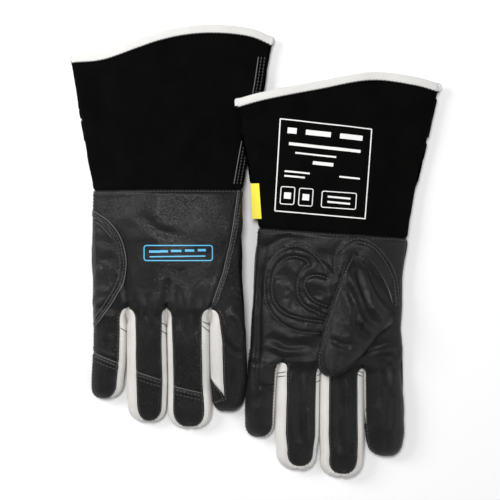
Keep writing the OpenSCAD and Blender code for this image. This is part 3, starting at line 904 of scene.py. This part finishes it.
def thumb_patches(g):
    far, near = even(THUMB_FAR, THUMB_N), even(THUMB_NEAR, THUMB_N)
    q = -np.cos(np.linspace(0, math.pi, THUMB_COLS))
    made = []
    for piece, up in (("thumb_back", True), ("thumb_palm", False)):
        made.append(Patch(g, SIDES[g] + "_" + piece, thumb_pt(g, far, near, q, up), (0, 0, 1 if up else -1), (),
                          ("r0", "c0", "c1"), face=PALM, shape=thumb_relief if up else None))
    return made


# ---- tubes: stitches, beads and welts
def sweep(paths, normals, radii, sides=6):
    """Tubes along paths (S, K, 3) with normals of the same shape and K radii in metres."""
    t = unit(np.gradient(paths, axis=1))
    b = unit(np.cross(t, normals))
    n = np.cross(b, t)
    a = np.arange(sides) * 2 * math.pi / sides
    ring = b[..., None, :] * np.cos(a)[:, None] + n[..., None, :] * np.sin(a)[:, None]
    v = paths[..., None, :] + ring * radii[None, :, None, None]
    s, k = paths.shape[:2]
    i, j = np.meshgrid(np.arange(k - 1), np.arange(sides), indexing="ij")
    this, other = i * sides, (i + 1) * sides
    j_next = (j + 1) % sides
    q = np.stack([this + j, this + j_next, other + j_next, other + j], -1).reshape(-1, 4)
    ends = np.array([np.arange(sides)[::-1], (k - 1) * sides + np.arange(sides)])
    block = k * sides
    faces = [f for base in range(0, s * block, block) for f in (q + base).tolist() + (ends + base).tolist()]
    return v.reshape(-1, 3), faces


LINES = {}                                  # (glove, carrier, finish) -> tubes to be made


def put(g, kind, finish, verts, faces):
    LINES.setdefault((g, kind, finish), []).append((verts, faces))


def resample(line, normals, at):
    run = run_along(line)
    out = points_at(np.clip(at, 0, run[-1]), run, np.concatenate([line, normals], 1))
    return out[..., :3], out[..., 3:]


def length_of(line):
    return run_along(line)[-1]


STITCH_R, BEAD_SIDES = 0.46, 8
STITCH_AT = np.array([-0.5, -0.36, 0, 0.36, 0.5])
STITCH_UP = np.array([-0.3, 0.16, 0.34, 0.16, -0.3]) * MM


def sew(g, kind, line, normals, pitch=3.0, long=2.0):
    """A row of stitches along a line of the row frame, in metres."""
    total = length_of(line)
    n = int(total / (pitch * MM))
    if n < 1:
        return
    centre = (np.arange(n) + 0.5) * total / n
    p, m = resample(line, normals, centre[:, None] + STITCH_AT[None] * long * MM)
    v, f = sweep(p + m * STITCH_UP[None, :, None], m, np.array([0.15, STITCH_R, STITCH_R, STITCH_R, 0.15]) * MM)
    put(g, kind, "dark", v, f)


def bead(g, kind, line, normals, finish="edge", r=0.4, up=0.1):
    """A thin round ridge along a line, such as the rolled edge of a seam; in the "edge" finish its light grey
    is a painted highlight.
    """
    n = max(3, int(length_of(line) / (1.2 * MM)))
    p, m = resample(line, normals, np.linspace(0, length_of(line), n))
    radii = np.full(n, r)
    radii[[0, -1]] = r * 0.3
    v, f = sweep((p + m * up * MM)[None], m[None], radii * MM, BEAD_SIDES)
    put(g, kind, finish, v, f)


def on_skin(g, face, plan, step=1.2):
    """A curve of the plan carried to the skin, with normals."""
    p = spline(plan, step)
    d = 0.6
    z = skin(g, face, p[:, 0], p[:, 1])
    zx = (skin(g, face, p[:, 0] + d, p[:, 1]) - skin(g, face, p[:, 0] - d, p[:, 1])) / (2 * d)
    zy = (skin(g, face, p[:, 0], p[:, 1] + d) - skin(g, face, p[:, 0], p[:, 1] - d)) / (2 * d)
    n = np.stack([-zx, -zy, np.ones(len(p))], 1) * face
    n = np.clip(n, -3, 3)
    world = place(g, np.column_stack([p, z]))
    tip = place(g, np.column_stack([p, z]) + n)
    return world, unit(tip - world)


def inset_row(w, n, side, d):
    """The line d mm inside one border of a settled grid, with its normals."""
    run = border_distance(w, side) / MM
    if side[0] == "r":
        w, n, run = w.swapaxes(0, 1), n.swapaxes(0, 1), run.T
    p, m = [], []
    for a, b, r in zip(w, n, run):
        if side[1] == "1":
            a, b, r = a[::-1], b[::-1], r[::-1]
        if r[-1] > 2.1 * d:
            p.append(points_at(d, r, a))
            m.append(points_at(d, r, b))
    return np.array(p), np.array(m)


# ---- build the shells
def carrier(part):
    """Which part a piece belongs to: its finger's number, the thumb or the hand."""
    word = part.split("_")[0]
    if word in FINGERS and "fork" not in part:
        return FINGERS.index(word)
    return "thumb" if word == "thumb" else "hand"


def slot_of(part):
    for word, name in (("fourchette", "white_leather"), ("fork", "white_leather"),
                       ("binding", "binding_leather"), ("cuff", "cuff_suede"), ("foam", "pad_foam"),
                       ("tab", "tab_fabric")):
        if word in part:
            return name
    return "grain_leather"


def make_piece(piece, patches, world, normals):
    g = LEFT if piece.startswith("left") else RIGHT
    part = piece.split("_", 1)[1]
    ob = shell("v_" + piece, patches, world, normals)
    finish_piece(ob, slot_of(part))
    attach(ob, g, carrier(part))
    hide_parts(piece)
    return ob


SEW_AT = {"index": (1.9, 4.0), "cap": (3.0, 6.6), "white": (1.7,), "edge": (2.0,), "wrist": (2.2,)}


def sew_patch(patch, w, n):
    """Stitch rows inside a shell's sewn borders."""
    part = patch.piece.split("_", 1)[1]
    kind = carrier(part)
    for side in patch.grooves:
        if "fourchette" in part or "cuff" in part:
            continue
        name = "white"
        if side[0] == "r":
            name = "cap" if "cap" in part else ("wrist" if part in ("back_panel", "palm_panel") else None)
        elif kind == "hand":
            wing = part == "palm_panel" and patch.face == BACK
            name = "index" if wing else ("edge" if side == "c0" else None)
            if part == "back_panel" and side == "c1":
                name = None
        if name is None:
            continue
        for inset in SEW_AT[name]:
            line, m = inset_row(w, n, side, inset)
            if side in patch.late and len(line):
                at, rot = FRAMES[patch.g]
                ahead = ((line[:, :2] / MM - at) @ rot)[:, 1] < patch.start - 3
                line, m = line[ahead], m[ahead]
            if len(line) > 2:
                sew(patch.g, kind, line, m)
        # A ridge along the seam's edge; its light grey finish is a painted highlight
        if name in ("cap", "index", "edge"):
            line, m = inset_row(w, n, side, 0.15)
            bead(patch.g, kind, line, m, r=0.42, up=0.35)


TREES, SKINS, CUFF_TOPS = {}, {}, {}        # per glove: the skin's tree, its grids, and the cuff's faces


def make_all(patches):
    """One piece per patch."""
    world, normals = settle(patches)
    for patch, w, n in zip(patches, world, normals):
        make_piece(patch.piece, [patch], [w], [n])
    return world, normals


def build_shell(g):
    """The hand, the cuff and the stalls, which share their edges."""
    patches = hand_patches(g) + cuff_patches(g)
    for i in range(4):
        patches += finger_patches(g, i)
    world, normals = settle(patches)
    SKINS[g] = []
    widen(g, patches, world)
    groups = {}
    for k, patch in enumerate(patches):
        groups.setdefault(patch.piece, []).append(k)
        sew_patch(patch, world[k], normals[k])
        if "cuff" in patch.piece:
            CUFF_TOPS[g, patch.face] = (world[k], normals[k])
    for piece, own in sorted(groups.items()):
        make_piece(piece, *[[rows[k] for k in own] for rows in (patches, world, normals)])


def build_pads(g):
    """The palm's pads on their foam, and the side patch, with their rows of stitches."""
    tops, foams = build_patches(g)
    make_piece(SIDES[g] + "_palm_foam", foams, *settle(foams))
    world, normals = make_all(tops)
    widen(g, tops, world)
    for line in HEEL_ROWS + THENAR_ROWS:
        sew(g, "hand", *on_skin(g, PALM, line))
    for inset in (2.6, 6.0):
        sew(g, "hand", *inset_row(world[2], normals[2], "c0", inset))
    # The side patch's edge ridge; its light grey finish is a painted highlight
    bead(g, "hand", *inset_row(world[2], normals[2], "c0", 0.1), up=0.0)


def build_thumb(g):
    """The thumb's two faces, and the welt rolled into their far seam with its tail tucked into the crotch."""
    world, normals = make_all(thumb_patches(g))
    sew(g, "thumb", *inset_row(world[0], normals[0], "c0", 3.2))
    far = inset_row(world[0], normals[0], "c0", 0.1)[0]
    up = np.array([0, 0, 1.0 if g == LEFT else -1.0])
    hook = spline(WELT_HOOK, 1.2)
    tail = place(g, np.column_stack([hook, skin(g, PALM, hook[:, 0], hook[:, 1]) + 1.4]))
    far = np.vstack([tail, far[2:]])
    line, m = resample(far, np.tile(up, (len(far), 1)), np.linspace(0, length_of(far), WELT_POINTS))
    for _ in range(3):
        line[1:-1] = (line[:-2] + 2 * line[1:-1] + line[2:]) / 4
    radii = np.full(WELT_POINTS, 1.15)
    radii[:3], radii[-3:] = (0.3, 0.8, 1.05), (1.0, 0.7, 0.25)
    name = SIDES[g] + "_thumb_welt"
    welt = mesh_object("v_" + name, *sweep((line + up * 0.2 * MM)[None], m[None], radii * MM, 10))
    finish_piece(welt, "grain_leather")
    attach(welt, g, "thumb")
    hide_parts(name)


def build_forks(g):
    """A white web round the bottom of each crotch."""
    for k, name in enumerate(("_index_middle_fork", "_middle_ring_fork", "_ring_pinky_fork")):
        u, v = np.meshgrid(np.linspace(-1, 1, 13), np.linspace(0, 1, 25), indexing="ij")
        y = CROTCH_BACK + (CROTCH_PALM - CROTCH_BACK) * v + 0.8 - 3.0 * u ** 2
        x = join_x(g, BACK, k, CROTCH_BACK + 0 * y) + 2.6 * u
        x += crotch_shift(BACK, k, CROTCH_BACK) * (1 - v) + crotch_shift(PALM, k, CROTCH_PALM) * v
        z = 0.35 * (hand_dome(g, PALM, x, y) * v - hand_dome(g, BACK, x, y) * (1 - v))
        make_all([Patch(g, SIDES[g] + name, np.stack([x, y, z], -1), (0, -1, 0), (), thick=1.0, face=BACK)])


# The binding's section: how far behind the cuff's edge, and how far outside its face.
BINDING = [(6.6, 0.25), (6.4, 1), (5.2, 1.3), (3.2, 1.35), (1.2, 1.35), (0, 1.15), (-0.75, 0.4),
           (-0.95, -0.75), (-0.75, -1.9), (0, -2.6), (1.4, -2.8), (5, -2.7)]


def build_binding(g):
    """A strip folded over the edge of each face of the cuff, with a row of stitches."""
    strips = []
    for face in (BACK, PALM):
        w, n = CUFF_TOPS[g, face]
        rows = []
        for back, out in BINDING:
            line, m = inset_row(w, n, "r1", max(back, 0.001))
            ahead = unit(line - inset_row(w, n, "r1", max(back, 0.001) + 3)[0])
            rows.append(line + m * out * MM + ahead * max(-back, 0) * MM)
        pts = np.array(rows) / MM
        out = np.array([0, 0, 1.0 if (face == PALM) == (g == LEFT) else -1.0])
        outer = Patch(LEFT, SIDES[g] + "_cuff_binding", pts[:6], out, (), thick=TAPE_T)
        strip = Patch(LEFT, outer.piece, pts, out, (), ("r0", "r1"), TAPE_T)
        if strip.flip != outer.flip:        # the outside is told by the rows that lie on the face
            strip.quads, strip.flip = strip.quads[:, ::-1], outer.flip
        strips.append(strip)
    normals = shared_normals(strips, [strip.p for strip in strips])
    make_piece(strips[0].piece, strips, [strip.p * MM for strip in strips], normals)
    for strip, n in zip(strips, normals):
        sew(g, "hand", strip.p[1] * MM, n[1], pitch=3.4, long=2.7)


for g in (RIGHT, LEFT):
    build_shell(g)
    build_pads(g)
    build_thumb(g)
    build_forks(g)
    build_binding(g)

# ---- lines and marks on the visible faces
CUFF_SEAM = [(80, 118), (75, 86), (65, 42), (58.5, 5)]
# The cuff seam's ridge takes the light grey finish, a painted highlight
for shift, what in ((0, "bead"), (2.6, "sew"), (5.6, "sew")):
    p, m = on_skin(RIGHT, BACK, [(x + shift, y) for x, y in CUFF_SEAM])
    if what == "bead":
        bead(RIGHT, "hand", p, m, r=0.45, up=0.1)
    else:
        sew(RIGHT, "hand", p, m)
# Dark ticks drawn across the white at the crotches of the faces that show.
TICKS = {RIGHT: [((-41, -120), (-35, -124.3)), ((-5, -114.7), (1.1, -119)), ((-5, -121.7), (1.1, -125.7)),
                 ((31.1, -113.8), (37.2, -117.3)), ((31.1, -117.7), (37.7, -123.5))],
         LEFT: [((-40.1, -126), (-32.5, -123.7)), ((-39.8, -129.1), (-32.5, -127.3)),
                ((-5.4, -126), (-0.8, -123.6)), ((-5.4, -131.5), (-1, -129.2)),
                ((29.6, -118.2), (35.4, -120.5)), ((29.8, -121.7), (34.8, -123.5))]}
for g, rows in TICKS.items():
    for a, b in rows:
        p, m = on_skin(g, BACK if g == RIGHT else PALM, [a, ((a[0] + b[0]) / 2, (a[1] + b[1]) / 2), b], 0.8)
        x = (a[0] + b[0]) / 2
        bead(g, INDEX if x > 30 else (MIDDLE if x > -6 else RING), p, m, "dark", r=0.38, up=0.15)


def strip_on(g, face, line, width):
    """A flat printed line along a curve of the plan."""
    p = np.asarray(line, float)
    p = np.vstack([np.linspace(a, b, max(2, int(np.hypot(*(b - a)) / 1.5) + 1)) for a, b in zip(p[:-1], p[1:])])
    t = unit(np.gradient(p, axis=0))
    side = np.column_stack([-t[:, 1], t[:, 0]])
    offsets = np.linspace(-0.5, 0.5, max(3, int(width / 1.5) + 2))
    grid = p[:, None] + side[:, None] * offsets[None, :, None] * width
    x, y = grid[..., 0], grid[..., 1]
    pts = np.stack([x, y, skin(g, face, x, y) + face * 0.16], -1)
    return Patch(g, "mark", pts, (0, 0, face), (), thick=0.14, face=face)


def loop(cx, cy, w, h, r, n=6):
    """A rounded rectangle as a closed line."""
    out = []
    for k, (sx, sy) in enumerate(((1, 1), (-1, 1), (-1, -1), (1, -1))):
        for a in np.linspace(k * 90, k * 90 + 90, n):
            out.append((cx + sx * (w / 2 - r) + r * math.cos(math.radians(a)),
                        cy + sy * (h / 2 - r) + r * math.sin(math.radians(a))))
    return out + out[:1]


def marks(name, g, face, lines, mat):
    parts = [strip_on(g, face, line, width) for line, width in lines]
    w, n = settle(parts)
    ob = shell(name, parts, w, n)
    finish_piece(ob, None, mat)
    return attach(ob, g, "hand")


BLUE_BARS = [(-9.5, 10), (-1.5, 7), (9, 9), (20.5, 8), (31, 7)]
lines = [(loop(10.6, -54.8, 59, 13, 2.2), 0.95)]
lines += [([(x - w / 2, -53.3 + 0.03 * x), (x + w / 2, -53.3 + 0.03 * x)], 2.0) for x, w in BLUE_BARS]
lines += [([(-14, -58), (34, -57.4)], 1.1)]
marks("v_right_back_mark", RIGHT, BACK, lines, INK_BLUE)
# The bars and boxes on the cuff: ends and width, then centre and size.
CUFF_BARS = [(-46, 86.5, -38, 86.3, 5), (-30, 86, -8, 85.4, 4.4), (0, 85, 20, 84.4, 4.4),
             (-44, 75, 19, 72.8, 2.6), (-38, 67.5, -2, 66.3, 1.5), (-22, 60, -4, 59.4, 3),
             (-46, 51, -24, 50.4, 1.5), (-46, 47, -28, 46.5, 1.5), (2, 49.5, 20, 49, 1.5),
             (-45, 30, -39, 29.9, 5.5), (-29, 29.6, -23, 29.5, 5.5), (-7, 31.5, 13, 31, 1.6),
             (-7, 27, 13, 26.5, 1.6)]
CUFF_BOXES = [(-42, 30, 12, 15), (-26, 29.6, 12, 15), (3, 29, 30, 14)]
lines = [([(-53, 96), (27.5, 93), (27, 14.5), (-52, 16), (-53, 96.3)], 1.0)]
lines += [([(x0, y0), (x1, y1)], width) for x0, y0, x1, y1, width in CUFF_BARS]
lines += [(loop(*box, 1.5), 0.8) for box in CUFF_BOXES]
marks("v_left_cuff_mark", LEFT, PALM, lines, INK_WHITE)

# the tab in the left cuff's outer seam
u, v = np.meshgrid(np.linspace(0, 1, 14), np.linspace(0, 1, 8), indexing="ij")
top_edge, low_edge = np.array([(-74.8, 38.3), (-67.5, 38.8)]), np.array([(-71.5, 7.6), (-63.2, 8.2)])
near, far = [top * (1 - u[..., None]) + low * u[..., None] for top, low in zip(top_edge, low_edge)]
plan = near * (1 - v[..., None]) + far * v[..., None]
inner_x = np.maximum(plan[..., 0], -65.5 - plan[..., 1] * 12.5 / 54 + 2.2)
z = skin(LEFT, PALM, inner_x, plan[..., 1]) + 1.0
tab = Patch(LEFT, "left_seam_tab", np.dstack([plan, z]), (0, 0, 1), (), thick=0.5, face=PALM)
make_piece(tab.piece, [tab], *settle([tab]))

# The "edge" finish is a painted highlight on the ridges; "dark" is the thread
FINISH = {"dark": THREAD, "edge": PAINTED_EDGE_HIGHLIGHT}
for (g, kind, finish), parts in sorted(LINES.items(), key=str):
    verts, faces, base = [], [], 0
    for v, f in parts:
        verts.append(v)
        faces += [[k + base for k in q] for q in f]
        base += len(v)
    word = kind if isinstance(kind, str) else FINGERS[kind]
    ob = mesh_object("v_%s_%s_%s" % (SIDES[g], word, "stitches" if finish == "dark" else "edges"),
                     np.concatenate(verts), faces)
    finish_piece(ob, None, FINISH[finish])
    attach(ob, g, kind)

# ---- stage, light and camera
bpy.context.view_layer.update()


def area(name, at, size, power):
    """A square lamp that faces the gloves."""
    data = bpy.data.lights.new(name, "AREA")
    data.shape, data.size, data.energy = "SQUARE", size, power
    ob = bpy.data.objects.new(name, data)
    ob.location = at
    ob.rotation_euler = (-Vector(at)).to_track_quat("-Z", "Y").to_euler()
    bpy.context.scene.collection.objects.link(ob)


floor = mesh_object("floor", [(-3, -3, 0), (3, -3, 0), (3, 3, 0), (-3, 3, 0)], [(0, 1, 2, 3)])
floor.data.materials.append(plain("paper", (0.93, 0.93, 0.93), 0.9))
world_data = bpy.data.worlds.new("studio")
world_data.use_nodes = True
world_data.node_tree.nodes["Background"].inputs[0].default_value = (1, 1, 1, 1)
world_data.node_tree.nodes["Background"].inputs[1].default_value = 0.22
bpy.context.scene.world = world_data
area("top", (-0.15, 0.35, 1.5), 0.45, 14.5)
area("key", (-1.0, 0.5, 0.75), 0.6, 10)
area("fill", (0.9, -0.4, 0.9), 0.9, 3)
bpy.context.scene.view_settings.view_transform = "Standard"

PICTURE_W, FOCAL, SENSOR = 0.440, 85.0, 36.0
cam_data = bpy.data.cameras.new("camera")
cam_data.lens, cam_data.sensor_width = FOCAL, SENSOR
cam = bpy.data.objects.new("camera", cam_data)
cam.location = (-0.0048, 0.0009, PICTURE_W / SENSOR * FOCAL + 0.010)
bpy.context.scene.collection.objects.link(cam)
bpy.context.scene.camera = cam
